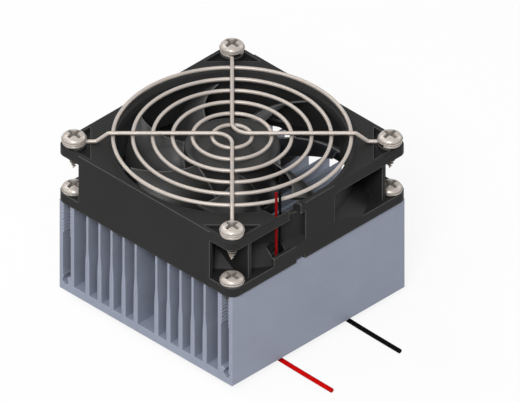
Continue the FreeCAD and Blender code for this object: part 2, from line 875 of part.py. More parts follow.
def fan_frame():
    shell = frame_shell()
    bored = doc.addObject("Part::Cut", "bored_shell")
    bored.Base = shell
    bored.Tool = bore_tool()
    whole = doc.addObject("Part::Fuse", "frame_with_spider")
    whole.Base = bored
    whole.Tool = frame_spider()

    notch = block("lead_notch", (d.lead_notch_inner, d.lead_notch_start, fan_foot - OVERSHOOT),
                  (d.lead_notch_outer, d.lead_notch_end, flare_top))
    slot = block("lead_slot", (d.slot_inner, d.slot_start, fan_top - d.flange_thick),
                 (d.slot_outer, d.slot_end, fan_top + OVERSHOOT))
    mouth = block("slot_mouth", (d.slot_outer - OVERSHOOT, d.slot_mouth, fan_top - d.flange_thick),
                  (side_face + OVERSHOOT, d.slot_end, fan_top + OVERSHOOT))
    gap = block("tab_gap", (wall_inner - OVERSHOOT, d.tab_end, fan_foot - OVERSHOOT),
                (side_face + OVERSHOOT, d.tab_notch_end, fan_foot + d.tab_notch_rise))
    cuts = doc.addObject("Part::MultiFuse", "lead_cuts")
    cuts.Shapes = [notch, slot, mouth, gap]
    frame = doc.addObject("Part::Cut", "fan_frame")
    frame.Base = whole
    frame.Tool = cuts
    keep("fan_frame", frame)


# Impeller

BLADE_SPANS = 5
BLADE_FLATS = 5


def blade_section(radius):
    """Corners of a cambered section wrapped round the axis, swept forward with the radius."""
    share = (radius - float(yoke_radius)) / float(d.tip_radius - yoke_radius)
    half_span = math.radians(float(d.blade_span_angle) / 2)
    sweep = math.radians(float(d.blade_sweep_angle)) * share ** 1.44
    angle = math.radians(float(d.blade_phase)) + half_span - sweep
    top = float(fan_top - d.blade_top_drop)
    lead = Vector(-radius * half_span, top, 0)
    trail = Vector(radius * half_span, top - float(d.blade_height), 0)
    chord = trail - lead
    across = Vector(-chord.y, chord.x, 0).normalize()
    flanks = ([], [])
    for i in range(BLADE_FLATS + 1):
        along = i / BLADE_FLATS
        arch = 4 * along * (1 - along)
        camber = chord.Length * float(d.blade_camber) * arch
        half_thick = float(d.blade_thick) * (0.3 + 0.2 * arch)
        for flank, side in zip(flanks, (1, -1)):
            flank.append(lead + chord * along + across * (camber + side * half_thick))
    wrapped = []
    for spot in flanks[0] + flanks[1][::-1]:
        turn = angle + spot.x / radius
        wrapped.append(Vector(radius * math.cos(turn), radius * math.sin(turn), spot.y))
    return wrapped


def blade():
    """One blade from inside the hub's wall to the tip."""
    root = float(yoke_radius + d.hub_wall / 3)
    tip = float(d.tip_radius)
    rings = [blade_section(root + (tip - root) * i / BLADE_SPANS) for i in range(BLADE_SPANS + 1)]
    faces = []
    for near, far in zip(rings, rings[1:]):
        for k in range(len(near)):
            faces += two_triangles(near[k - 1], near[k], far[k], far[k - 1])
    for end in (rings[0], rings[-1]):
        for i in range(BLADE_FLATS):
            faces += two_triangles(end[i], end[i + 1], end[-2 - i], end[-1 - i])
    return closed_solid(faces)


def impeller():
    hub = new_body("hub")
    drum = new_sketch(hub, "hub_outline", "XY_Plane", hub_foot)
    many_sided(drum, d.hub_radius, HUB_SIDES)
    pad(hub, drum, d.hub_height)
    doc.recompute()
    drum_pad = hub.Tip
    rim = named_edges(hub, lambda edge: abs(edge.CenterOfMass.z - float(hub_top)) < NEAR)
    bevel = hub.newObject("PartDesign::Chamfer", "hub_rim")
    bevel.Base = (drum_pad, rim)
    bind(bevel, "Size", d.hub_edge_bevel)
    hollow = new_sketch(hub, "hub_hollow", "XY_Plane", hub_foot - OVERSHOOT)
    many_sided_bore(hollow, yoke_radius)
    pocket(hub, hollow, d.hub_height - d.hub_top_wall + OVERSHOOT, upward=True)
    boss = new_sketch(hub, "hub_boss", "XY_Plane", hub_top - d.hub_top_wall - d.hub_boss_depth)
    many_sided(boss, d.hub_boss_radius)
    pad(hub, boss, d.hub_top_wall + d.hub_boss_depth)
    seat = new_sketch(hub, "shaft_seat", "XY_Plane", shaft_foot + d.shaft_length)
    circle(seat, 0.0, 0.0, d.shaft_radius)
    pocket(hub, seat, d.hub_top_wall + d.hub_boss_depth + OVERSHOOT)
    doc.recompute()
    first = blade()
    count = int(float(d.blade_count))
    blades = [first.rotated(Vector(0, 0, 0), Vector(0, 0, 1), 360.0 / count * i) for i in range(count)]
    solid_node("impeller", hub.Shape.fuse(blades))


# Fan motor

def motor():
    yoke_foot = yoke_top - d.yoke_height
    yoke_inner = yoke_radius - d.yoke_wall
    yoke = new_body("rotor_yoke")
    cup = new_sketch(yoke, "yoke_outline", "XY_Plane", yoke_foot)
    many_sided(cup, yoke_radius)
    pad(yoke, cup, d.yoke_height)
    hollow = new_sketch(yoke, "yoke_hollow", "XY_Plane", yoke_foot - OVERSHOOT)
    many_sided(hollow, yoke_inner)
    pocket(yoke, hollow, d.yoke_height - d.yoke_wall + OVERSHOOT, upward=True)
    bore = new_sketch(yoke, "yoke_bore", "XY_Plane", yoke_top + OVERSHOOT)
    many_sided_bore(bore, d.hub_boss_radius)
    pocket(yoke, bore, d.yoke_wall + 2 * OVERSHOOT)
    keep("rotor_yoke", yoke)
    magnet_top = yoke_top - d.magnet_drop
    keep("rotor_magnet", flat_ring("rotor_magnet", yoke_inner - d.magnet_thick, yoke_inner,
                                   magnet_top - d.magnet_height, d.magnet_height))

    keep("shaft", ring("shaft", None, d.shaft_radius, shaft_foot, d.shaft_length))
    keep("sleeve_bearing", ring("sleeve_bearing", d.shaft_radius + d.shaft_clearance,
                                d.tube_bore_radius, sleeve_foot, d.sleeve_length))
    plate = new_body("thrust_plate")
    disc = new_sketch(plate, "thrust_disc", "XY_Plane", motor_floor + d.motor_base_floor)
    many_sided(disc, d.tube_bore_radius)
    pad(plate, disc, d.thrust_plate_thick)
    keep("thrust_plate", plate)
    keep("oil_washer", flat_ring("oil_washer", d.shaft_radius, d.washer_radius,
                                 sleeve_top + d.clip_gap, d.washer_thick))
    clip_foot = sleeve_foot - d.clip_gap - d.clip_thick
    clip = flat_ring("retaining_clip", d.shaft_radius, d.clip_radius, clip_foot, d.clip_thick)
    opening = new_sketch(clip, "clip_opening", "XY_Plane", clip_foot - OVERSHOOT)
    half = d.clip_mouth / 2
    rectangle(opening, 0.0, -half, d.clip_radius + OVERSHOOT, half)
    pocket(clip, opening, d.clip_thick + 2 * OVERSHOOT, upward=True)
    keep("retaining_clip", clip)


def ring(label, inner, outer, foot, height):
    """A plain ring, or a disc where it has no bore."""
    body = new_body(label)
    sketch = new_sketch(body, label + "_outline", "XY_Plane", foot)
    circle(sketch, 0.0, 0.0, outer)
    if inner is not None:
        circle(sketch, 0.0, 0.0, inner)
    pad(body, sketch, height)
    return body


def flat_ring(label, inner, outer, foot, height):
    """A many-sided ring: corners on the outer radius, flats of the bore on the inner one."""
    body = new_body(label)
    sketch = new_sketch(body, label + "_outline", "XY_Plane", foot)
    many_sided(sketch, outer)
    many_sided_bore(sketch, inner)
    pad(body, sketch, height)
    return body


def pole_arm(body, label, foot, thick, width, reach):
    arm = new_sketch(body, label, "XY_Plane", foot)
    rectangle(arm, (d.tube_outer_radius + d.core_ring_radius) / 2, -width / 2, reach, width / 2)
    return pad(body, arm, thick)


SHOE_FLATS = 4


def shoe_outline():
    """Corners of a pole shoe: round its outer side and back along the inner one."""
    corners = []
    for radius, ends in ((d.pole_shoe_outer, (-0.5, 0.5)), (d.pole_shoe_inner, (0.5, -0.5))):
        for i in range(SHOE_FLATS + 1):
            share = ends[0] + (ends[1] - ends[0]) * i / SHOE_FLATS
            angle = math.radians(float(d.pole_shoe_angle) * share)
            corners.append((radius * math.cos(angle), radius * math.sin(angle)))
    return corners


def stator():
    bore = d.tube_outer_radius + d.core_clearance
    core = flat_ring("stator_core", bore, d.core_ring_radius, core_foot, d.core_thick)
    shoe_middle = (d.pole_shoe_inner + d.pole_shoe_outer) / 2
    arm = pole_arm(core, "core_arm", core_foot, d.core_thick, d.pole_width, shoe_middle)
    shoe_sketch = new_sketch(core, "pole_shoe", "XY_Plane", core_foot)
    outline(shoe_sketch, shoe_outline())
    shoe = pad(core, shoe_sketch, d.core_thick)
    polar(core, "poles", [arm, shoe], d.pole_count)
    keep("stator_core", core)

    width = d.pole_width + 2 * d.insulator_margin
    for label, foot in (("lower_insulator", stator_foot), ("upper_insulator", core_top)):
        plate = flat_ring(label, bore, d.core_ring_radius, foot, d.insulator_thick)
        flap = pole_arm(plate, label + "_arm", foot, d.insulator_thick, width, d.insulator_reach)
        polar(plate, label + "_arms", [flap], d.pole_count)
        keep(label, plate)

    coils = [coil().rotate(Vector(0, 0, 0), Vector(0, 0, 1), 360.0 / float(d.pole_count) * i)
             for i in range(int(float(d.pole_count)))]
    solid_node("stator_windings", Part.makeCompound(coils))


def coil():
    """A wound coil round one pole arm, between the ring and the shoe."""
    inner_width = float(d.pole_width + 2 * d.insulator_margin)
    inner_low = float(stator_foot)
    inner_height = float(d.core_thick + 2 * d.insulator_thick)
    wall = float(d.coil_wall)
    start = float(d.coil_inner)
    length = float(d.coil_outer) - start
    outer = Part.makeBox(length, inner_width + 2 * wall, inner_height + 2 * wall,
                         Vector(start, -inner_width / 2 - wall, inner_low - wall))
    along = [edge for edge in outer.Edges if abs(edge.tangentAt(edge.FirstParameter).x) > 0.99]
    outer = outer.makeChamfer(float(d.coil_edge_bevel), along)
    inner = Part.makeBox(length, inner_width, inner_height, Vector(start, -inner_width / 2, inner_low))
    return outer.cut(inner)


# Angle round the board, length, width and height of each soldered part
CHIPS = ((45, 3.0, 3.0, 1.2), (135, 2.0, 4.0, 1.0), (-135, 2.4, 1.6, 1.1))


def circuit():
    keep("circuit_board", flat_ring("circuit_board", d.stator_step_radius + d.core_clearance,
                                    d.board_radius, board_foot, d.board_thick))
    start = float(d.stator_step_radius + d.chip_inset)
    parts = []
    for angle, length, width, height in CHIPS:
        chip = Part.makeBox(length, width, height, Vector(start, -width / 2, float(board_top)))
        parts.append(chip.rotate(Vector(0, 0, 0), Vector(0, 0, 1), angle))
    solid_node("circuit_parts", Part.makeCompound(parts))


# Finger guard

# Flats of the smallest ring, less one step, and the step to the next ring
FEWEST_FLATS = 12
MORE_FLATS = 3


def guard_rings():
    count = int(float(d.ring_count))
    for i in range(1, count + 1):
        radius = float(d.ring_outer) * i / count
        sides = FEWEST_FLATS + MORE_FLATS * i
        turns = [2 * math.pi * k / sides for k in range(sides)]
        level = float(ring_level)
        points = [Vector(radius * math.cos(a), radius * math.sin(a), level) for a in turns]
        solid_node("guard_ring_%d" % i, bent_wire(points, float(d.wire_radius), closed=True))


# Flats of the wire at its shallow bends, its centre bend, its necks and its eyelets
STEP_FLATS = 2
CENTRE_FLATS = 6
NECK_FLATS = 3
LOOP_FLATS = 12


def guard_strut(label, first, second):
    """A wire that crosses the rings from one corner eyelet to the next round a bend at the centre."""
    low = Vector(0, 0, float(guard_wire_level))
    high = Vector(0, 0, float(strut_level))
    legs = []
    for corner in (first, second):
        along = Vector(corner[0], corner[1], 0).normalize()
        legs.append([eyelet(corner)[0], along * float(d.strut_step_outer) + low,
                     along * float(d.strut_step_inner) + high])
    corners = legs[0] + [high] + legs[1][::-1]
    step = (float(d.strut_step_bend), STEP_FLATS)
    points = eyelet(first)[::-1]
    for i, shape in enumerate((step, step, (float(d.strut_bend), CENTRE_FLATS), step, step)):
        points += bend(*corners[i:i + 3], *shape)
    points += eyelet(second)
    solid_node(label, bent_wire(points, float(d.wire_radius)))


def eyelet(corner):
    """Points of the neck and loop round a corner screw, from the straight wire to the cut end."""
    along = Vector(corner[0], corner[1], 0).normalize()
    across = Vector(-along.y, along.x, 0)
    if across.x * along.y > 0:
        across = -across
    loop = float(d.eyelet_radius)
    neck = float(d.eyelet_neck)
    centre = along * (float(hole_line) * math.sqrt(2)) + Vector(0, 0, float(guard_wire_level))
    start = centre - along * math.sqrt(loop ** 2 + 2 * loop * neck)
    neck_centre = start + across * neck
    meet = centre + (neck_centre - centre).normalize() * loop
    neck_turn = signed_angle(start - neck_centre, meet - neck_centre)
    sense = math.copysign(float(d.eyelet_turn), signed_angle(meet - centre, along))
    return (arc_points(neck_centre, start, neck_turn, NECK_FLATS)
            + arc_points(centre, meet, sense, LOOP_FLATS)[1:])


def signed_angle(first, second):
    """Turn about Z from one direction to another, in degrees."""
    return math.degrees(math.atan2(first.cross(second).z, first.dot(second)))


def arc_points(centre, start, turn, steps):
    spoke = start - centre
    return [centre + Rotation(Vector(0, 0, 1), turn * i / steps).multVec(spoke) for i in range(steps + 1)]


# Screws

def screw_blank():
    """A pan-head tapping screw with its head's underside at the origin."""
    head = float(d.screw_head_radius)
    height = float(d.screw_head_height)
    shank = float(d.screw_shank_radius)
    length = float(d.screw_length)
    screw = stacked([
        (float(d.screw_tip), -length), (shank, float(d.screw_point) - length), (shank, 0.0), (head, 0.0),
        (head, float(d.screw_rim)), (float(d.screw_dome_radius), height - float(d.screw_dome_drop)),
        (float(d.screw_crown), height)], SCREW_SIDES)
    arm = float(d.cross_length)
    flank = float(d.cross_width)
    depth = float(d.cross_depth)
    floor = height - depth
    for size_x, size_y in ((arm, flank), (flank, arm)):
        slot = Part.makeBox(size_x, size_y, depth + OVERSHOOT, Vector(-size_x / 2, -size_y / 2, floor))
        screw = screw.cut(slot)
    return screw


def screws():
    blank = screw_blank()
    place = float(hole_line)
    for label, seat in (("guard_screws", guard_screw_seat), ("fan_screws", fan_screw_seat)):
        copies = [blank.translated(Vector(sx * place, sy * place, float(seat))) for sx, sy in CORNERS]
        solid_node(label, Part.makeCompound(copies))


# Leads

# Shares of a module lead's way out at its two bends, and its lean to the side there and at the end
MODULE_LEAD_BENDS = (0.27, 0.62)
MODULE_LEAD_LEAN = 0.1


def module_leads():
    radius = float(d.module_lead_radius)
    start = float(d.plate_side / 2 - d.seal_inset)
    end = float(d.module_lead_reach)
    level = float(sink_foot) / 2
    rest = radius + float(d.module_lead_rest)
    near, far = [start + share * (end - start) for share in MODULE_LEAD_BENDS]
    for label, side in (("module_lead_red", -1), ("module_lead_black", 1)):
        y = side * float(d.module_lead_side)
        cord(label, [Vector(start, y, level), Vector(near, y, level),
                     Vector(far, y + MODULE_LEAD_LEAN, rest + MODULE_LEAD_LEAN / 2),
                     Vector(end, y - MODULE_LEAD_LEAN, rest)], radius)


# A fan lead in the strut: share of the way out and lift; then beside the frame: share of the rise and lean
FAN_LEAD_WAY_OUT = ((0.0, 0.0), (0.27, 0.04), (0.57, 0.04), (0.87, 0.0))
FAN_LEAD_WAY_UP = ((0.0, 0.0), (0.3, 0.06), (0.65, 0.08), (1.0, 0.0))


def fan_leads():
    heading = math.radians(float(d.lead_strut_angle))
    along = Vector(math.cos(heading), math.sin(heading), 0)
    across = Vector(-along.y, along.x, 0)
    level = float(motor_floor + d.fan_lead_lift)
    corner = level + float(d.fan_lead_corner)
    rise = float(sink_foot + d.fan_lead_rise) - corner
    for label, side in (("fan_lead_red", -1), ("fan_lead_black", 1)):
        end = Vector(float(d.fan_lead_reach),
                     float(d.fan_lead_mid) + side * float(d.fan_lead_apart) / 2, 0)
        start = (along * float(channel_start + d.fan_lead_start_gap)
                 + across * (side * float(d.fan_lead_apart_inside) / 2))
        route = [start + (end - start) * share + Vector(0, 0, level + lift)
                 for share, lift in FAN_LEAD_WAY_OUT]
        route += [end + Vector(lean, 0, corner + rise * share) for share, lean in FAN_LEAD_WAY_UP]
        cord(label, route, float(d.fan_lead_radius))


thermoelectric_element()
heat_sink()
fan_frame()
impeller()
motor()
stator()
circuit()
guard_rings()
guard_strut("guard_strut_left", (-1, -1), (1, -1))
guard_strut("guard_strut_right", (1, 1), (-1, 1))
screws()
module_leads()
fan_leads()
doc.recompute()

for item in doc.Objects:
    if "Invalid" in item.State or "Error" in item.State:
        raise RuntimeError("failed object " + item.Name)
for label, item in nodes.items():
    if item.Shape.isNull() or not item.Shape.isValid():
        raise RuntimeError("bad shape " + label)

os.makedirs("parts", exist_ok=True)
for label, item in nodes.items():
    item.Shape.exportStep("parts/%s.step" % label)
    box = item.Shape.BoundBox
    print("%-24s solids %3d  x %.2f..%.2f  y %.2f..%.2f  z %.2f..%.2f" % (
        label, len(item.Shape.Solids), box.XMin, box.XMax, box.YMin, box.YMax, box.ZMin, box.ZMax))
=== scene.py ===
import math
import bpy
from mathutils import Matrix, Vector


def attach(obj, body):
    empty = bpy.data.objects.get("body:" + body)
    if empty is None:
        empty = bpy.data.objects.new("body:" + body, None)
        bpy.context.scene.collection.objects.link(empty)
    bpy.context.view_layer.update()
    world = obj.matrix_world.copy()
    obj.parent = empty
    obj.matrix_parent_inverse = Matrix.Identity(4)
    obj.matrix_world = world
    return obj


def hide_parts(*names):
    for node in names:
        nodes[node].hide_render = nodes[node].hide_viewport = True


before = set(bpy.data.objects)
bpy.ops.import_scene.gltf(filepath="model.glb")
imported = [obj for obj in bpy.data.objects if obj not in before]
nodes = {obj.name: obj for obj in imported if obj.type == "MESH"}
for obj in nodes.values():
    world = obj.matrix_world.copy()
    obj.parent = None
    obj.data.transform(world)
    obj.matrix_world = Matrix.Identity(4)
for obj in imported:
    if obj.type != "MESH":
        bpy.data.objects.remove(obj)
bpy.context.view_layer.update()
MM = 0.001
UP = Vector((0, 0, 1))


# Materials

NOISE_SPAN = (0.3, 0.7)
NOISE_ROUGHNESS = 0.6
HOLLOW_SPAN = (0.25, 0.8)
EDGE_SPAN = (0.45, 0.8)
# Colour of the painted shade in narrow recesses
HOLLOW_SHADE = (0.01, 0.01, 0.01)
# A mix node's sockets go by number, since several share a name
NUMBER_MIX = (0, 2, 3)
COLOR_FIRST = 6
COLOR_SECOND = 7
COLOR_RESULT = 2


class Surface:
    """A procedural material built round one principled shader."""

    def __init__(self, name, color, roughness, metallic=0.0, specular=0.5):
        self.material = bpy.data.materials.new(name)
        self.material.use_nodes = True
        self.tree = self.material.node_tree
        self.shader = self.tree.nodes["Principled BSDF"]
        self.set("Base Color", (*color, 1.0))
        self.set("Roughness", roughness)
        self.set("Metallic", metallic)
        self.set("Specular IOR Level", specular)
        self.coordinates = self.add("ShaderNodeTexCoord").outputs["Object"]

    def set(self, socket, value):
        self.shader.inputs[socket].default_value = value

    def add(self, kind, **properties):
        node = self.tree.nodes.new(kind)
        for name, value in properties.items():
            setattr(node, name, value)
        return node

    def link(self, output, socket):
        self.tree.links.new(output, socket)

    def stretched(self, scale, turn=(0, 0, 0)):
        """Object coordinates scaled by axis, so that a noise becomes lines."""
        mapping = self.add("ShaderNodeMapping")
        mapping.inputs["Scale"].default_value = scale
        mapping.inputs["Rotation"].default_value = turn
        self.link(self.coordinates, mapping.inputs["Vector"])
        return mapping.outputs["Vector"]

    def noise(self, scale, detail=3.0, vector=None):
        """Clouds of one scale, over the object unless other coordinates are given."""
        noise = self.add("ShaderNodeTexNoise")
        noise.inputs["Scale"].default_value = scale
        noise.inputs["Detail"].default_value = detail
        noise.inputs["Roughness"].default_value = NOISE_ROUGHNESS
        self.link(vector or self.coordinates, noise.inputs["Vector"])
        return noise.outputs["Fac"]

    def ranged(self, value, start, end, low, high):
        """A value from start to end stretched to run from low to high."""
        scale = self.add("ShaderNodeMapRange")
        for socket, limit in (("From Min", start), ("From Max", end), ("To Min", low), ("To Max", high)):
            scale.inputs[socket].default_value = limit
        self.link(value, scale.inputs["Value"])
        return scale.outputs["Result"]

    def mixed(self, factor, first, second):
        """A blend of two values, each a number or another node's output."""
        mix = self.add("ShaderNodeMix", data_type="FLOAT")
        for source, socket in zip((factor, first, second), NUMBER_MIX):
            if isinstance(source, (int, float)):
                mix.inputs[socket].default_value = source
            else:
                self.link(source, mix.inputs[socket])
        return mix.outputs[0]

    def tint(self, factor, dark, light):
        """Colour that wanders between two shades."""
        ramp = self.add("ShaderNodeValToRGB")
        for stop, position, color in zip(ramp.color_ramp.elements, NOISE_SPAN, (dark, light)):
            stop.position = position
            stop.color = (*color, 1.0)
        self.link(factor, ramp.inputs["Fac"])
        self.link(ramp.outputs["Color"], self.shader.inputs["Base Color"])

    def shift_color(self, reach, inside, span, strength, color):
        """Mix the base colour towards another where nearby surface is dense: painted shade in recesses,
        or a painted highlight along outer edges.
        """
        near = self.add("ShaderNodeAmbientOcclusion", samples=10, inside=inside, only_local=inside)
        near.inputs["Distance"].default_value = reach
        mix = self.add("ShaderNodeMix", data_type="RGBA")
        socket = self.shader.inputs["Base Color"]
        self.link(self.ranged(near.outputs["AO"], *span, strength, 0.0), mix.inputs["Factor"])
        self.link(socket.links[0].from_socket, mix.inputs[COLOR_FIRST])
        mix.inputs[COLOR_SECOND].default_value = (*color, 1.0)
        self.link(mix.outputs[COLOR_RESULT], socket)

    def paint_hollow_shade(self, reach, strength):
        """Darken the base colour in narrow recesses, as painted shade."""
        self.shift_color(reach, False, HOLLOW_SPAN, strength, HOLLOW_SHADE)

    def paint_edge_highlight(self, reach, strength, color):
        """Lighten the base colour along outer edges, as a painted highlight."""
        self.shift_color(reach, True, EDGE_SPAN, strength, color)

    def rough(self, factor, low, high):
        """Roughness that wanders between two values."""
        self.link(self.ranged(factor, *NOISE_SPAN, low, high), self.shader.inputs["Roughness"])

    def bump(self, height, depth, strength, edge=0.0):
        """Relief from a height, over edges that are broken by a small round."""
        bump = self.add("ShaderNodeBump")
        bump.inputs["Distance"].default_value = depth
        bump.inputs["Strength"].default_value = strength
        if edge:
            round_edge = self.add("ShaderNodeBevel", samples=6)
            round_edge.inputs["Radius"].default_value = edge
            self.link(round_edge.outputs["Normal"], bump.inputs["Normal"])
        self.link(height, bump.inputs["Height"])
        self.link(bump.outputs["Normal"], self.shader.inputs["Normal"])

    def facing(self, axis, limit):
        """One where the surface faces along an axis, either way."""
        normal = self.add("ShaderNodeNewGeometry").outputs["Normal"]
        split = self.add("ShaderNodeSeparateXYZ")
        self.link(normal, split.inputs[0])
        size = self.add("ShaderNodeMath", operation="ABSOLUTE")
        self.link(split.outputs[axis], size.inputs[0])
        test = self.add("ShaderNodeMath", operation="GREATER_THAN")
        self.link(size.outputs[0], test.inputs[0])
        test.inputs[1].default_value = limit
        return test.outputs[0]


def shades(color, spread):
    """A darker and a lighter version of a colour."""
    return [tuple(min(1.0, c * k) for c in color) for k in (1 - spread, 1 + spread)]


def extruded_aluminium():
    """Die lines along the extrusion, saw marks on its cut ends."""
    color = (0.235, 0.26, 0.325)
    surface = Surface("extruded_aluminium", color, 0.45, metallic=0.3, specular=0.3)
    along = surface.noise(1.0, 4.0, surface.stretched((1500, 9, 1500)))
    sawn = surface.noise(1.0, 3.0, surface.stretched((28, 28, 1900), (0, math.radians(7), 0)))
    cut_end = surface.facing("Y", 0.9)
    lines = surface.mixed(cut_end, along, sawn)
    clouds = surface.noise(60, 2.0)
    surface.tint(surface.mixed(0.45, lines, clouds), *shades(color, 0.07))
    # Painted highlight: the base colour lightens along the outer edges.
    surface.paint_edge_highlight(0.0006, 0.5, (0.4, 0.43, 0.5))
    surface.rough(lines, 0.4, 0.54)
    surface.bump(lines, 0.00002, 0.5, edge=0.0002)
    return surface.material


def moulded_black(name, level, low, high, grain, specular):
    """Black moulded plastic with a fine eroded grain and faint flow marks."""
    color = (level, level * 0.98, level * 0.97)
    surface = Surface(name, color, (low + high) / 2, specular=specular)
    flow = surface.noise(35, 2.0)
    fine = surface.noise(2600, 2.0)
    surface.tint(flow, *shades(color, 0.14))
    # Painted highlight: the base colour lightens along the outer edges.
    surface.paint_edge_highlight(0.0007, 0.85, (0.1, 0.098, 0.096))
    surface.rough(surface.mixed(0.5, flow, fine), low, high)
    surface.bump(fine, grain, 0.5, edge=0.0005)
    return surface.material


def plated_steel(name, color, metallic, low, high, reach, hollow_shade):
    """Plated steel with a fine grain, small stains and painted shade in its recesses."""
    surface = Surface(name, color, (low + high) / 2, metallic=metallic, specular=0.3)
    stains = surface.noise(120, 2.0)
    fine = surface.noise(2600, 2.0)
    surface.tint(stains, *shades(color, 0.04))
    # Painted shade: the base colour darkens in narrow recesses.
    surface.paint_hollow_shade(reach, hollow_shade)
    surface.rough(surface.mixed(0.4, stains, fine), low, high)
    surface.bump(fine, 0.000004, 0.4)
    return surface.material


def lead_cover(name, color):
    """Soft extruded cover with a slight sheen and a fine grain."""
    surface = Surface(name, color, 0.4, specular=0.04)
    clouds = surface.noise(300, 2.0)
    surface.tint(clouds, *shades(color, 0.1))
    surface.rough(clouds, 0.42, 0.55)
    surface.bump(surface.noise(2500, 2.0), 0.000004, 0.4)
    return surface.material


def plain_solid(name, color, low, high, metallic=0.0, grain=900, depth=0.00001, spread=0.08):
    """A material with cloudy colour, uneven gloss and a fine grain."""
    surface = Surface(name, color, (low + high) / 2, metallic=metallic)
    surface.tint(surface.noise(grain / 6, 3.0), *shades(color, spread))
    fine = surface.noise(grain, 3.0)
    surface.rough(fine, low, high)
    surface.bump(fine, depth, 0.6)
    return surface.material


def laminations():
    """Thin steel sheets stacked along Z."""
    color = (0.42, 0.42, 0.43)
    surface = Surface("laminated_steel", color, 0.4, metallic=0.9)
    wave = surface.add("ShaderNodeTexWave", bands_direction="Z")
    wave.inputs["Scale"].default_value = 320
    surface.link(surface.coordinates, wave.inputs["Vector"])
    surface.tint(surface.noise(500, 2.0), *shades(color, 0.15))
    surface.rough(surface.noise(900, 2.0), 0.3, 0.5)
    surface.bump(wave.outputs["Fac"], 0.00004, 0.7)
    return surface.material


def enamelled_wire():
    """Turns of lacquered copper wire, side by side."""
    color = (0.55, 0.17, 0.06)
    surface = Surface("enamelled_copper", color, 0.25, metallic=0.7)
    wave = surface.add("ShaderNodeTexWave", bands_direction="Z", wave_profile="SIN")
    wave.inputs["Scale"].default_value = 550
    surface.link(surface.coordinates, wave.inputs["Vector"])
    surface.tint(surface.noise(700, 2.0), *shades(color, 0.2))
    surface.rough(surface.noise(600, 2.0), 0.2, 0.35)
    surface.bump(wave.outputs["Fac"], 0.00008, 0.8)
    return surface.material


# Painted shade: the wire darkens under the screw heads and where rings cross, and the screws darken in
# their cross recesses.
wire = plated_steel("plated_wire", (0.39, 0.348, 0.315), metallic=0.3, low=0.38, high=0.48,
                    reach=0.0015, hollow_shade=0.7)
screw_steel = plated_steel("plated_screws", (0.39, 0.35, 0.317), metallic=0.2, low=0.24, high=0.32,
                           reach=0.003, hollow_shade=0.95)
red_cover = lead_cover("red_cover", (0.42, 0.001, 0.001))
# A darker copy of the red cover: painted shade for the motor's leads, which lie in shadow.
shaded_red_cover = lead_cover("shaded_red_cover", (0.17, 0.001, 0.002))
black_cover = lead_cover("black_cover", (0.002, 0.002, 0.002))
ceramic = plain_solid("fired_ceramic", (0.82, 0.82, 0.79), 0.45, 0.65)
copper = plain_solid("bare_copper", (0.72, 0.34, 0.2), 0.2, 0.4, metallic=1.0)
white_plastic = plain_solid("white_plastic", (0.75, 0.75, 0.71), 0.35, 0.55)
bright_steel = plain_solid("ground_steel", (0.6, 0.6, 0.6), 0.15, 0.3, metallic=1.0)

finishes = {
    "heat_sink": extruded_aluminium(),
    "fan_frame": moulded_black("black_frame", level=0.015, low=0.42, high=0.56, grain=0.00002,
                               specular=0.09),
    "impeller": moulded_black("black_impeller", level=0.018, low=0.3, high=0.42, grain=0.00001,
                              specular=0.24),
    "cold_side_plate": ceramic,
    "hot_side_plate": ceramic,
    "edge_seal": plain_solid("silicone_seal", (0.78, 0.78, 0.75), 0.4, 0.6, grain=400, depth=0.00005),
    "cold_side_tabs": copper,
    "hot_side_tabs": copper,
    "semiconductor_pellets": plain_solid("sintered_pellets", (0.2, 0.2, 0.22), 0.35, 0.5, metallic=0.8),
    "rotor_yoke": plain_solid("drawn_steel", (0.5, 0.5, 0.5), 0.25, 0.4, metallic=1.0),
    "rotor_magnet": plain_solid("bonded_ferrite", (0.05, 0.05, 0.052), 0.5, 0.7, grain=1600),
    "shaft": bright_steel,
    "sleeve_bearing": plain_solid("sintered_bronze", (0.45, 0.3, 0.14), 0.35, 0.5, metallic=0.9),
    "thrust_plate": white_plastic,
    "oil_washer": white_plastic,
    "retaining_clip": white_plastic,
    "stator_core": laminations(),
    "lower_insulator": white_plastic,
    "upper_insulator": white_plastic,
    "stator_windings": enamelled_wire(),
    "circuit_board": plain_solid("solder_mask", (0.02, 0.16, 0.06), 0.2, 0.35, grain=500),
    "circuit_parts": plain_solid("moulded_chips", (0.02, 0.02, 0.02), 0.4, 0.6, grain=2000),
}
for name, node in nodes.items():
    node.data.materials.clear()
    node.data.materials.append(finishes.get(name, wire))


# Meshes

def add_mesh(name, points, faces, material, body, slot_name):
    """A smooth piece from points in millimetres."""
    mesh = bpy.data.meshes.new(name)
    mesh.from_pydata([Vector(point) * MM for point in points], [], faces)
    mesh.materials.append(material)
    for polygon in mesh.polygons:
        polygon.use_smooth = True
    piece = bpy.data.objects.new(name, mesh)
    bpy.context.scene.collection.objects.link(piece)
    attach(piece, body)
    return piece


def joined(parts):
    """One list of points and faces from several."""
    points = []
    faces = []
    for more_points, more_faces in parts:
        start = len(points)
        points += more_points
        faces += [tuple(index + start for index in face) for face in more_faces]
    return points, faces


def strip(rings, closed_along=False, caps=False):
    """Quads from each ring of points to the next."""
    size = len(rings[0])
    count = len(rings)
    points = [point for ring in rings for point in ring]
    faces = []
    for i in range(count if closed_along else count - 1):
        near = i * size
        far = (i + 1) % count * size
        for k in range(size):
            after = (k + 1) % size
            faces.append((near + k, near + after, far + after, far + k))
    if caps:
        faces.append(tuple(range(size))[::-1])
        faces.append(tuple(range((count - 1) * size, count * size)))
    return points, faces


def turned(profile, steps):
    """A closed form of revolution from its radii and heights."""
    turns = [2 * math.pi * i / steps for i in range(steps)]
    rings = [[(radius * math.cos(a), radius * math.sin(a), height) for a in turns]
             for radius, height in profile]
    return strip(rings, caps=True)


def rounded(centre, radius, start, end, steps):
    """Points of a quarter or other arc in a profile, angles in degrees."""
    turns = [math.radians(start + (end - start) * i / steps) for i in range(steps + 1)]
    return [(centre[0] + radius * math.cos(a), centre[1] + radius * math.sin(a)) for a in turns]


# Screws

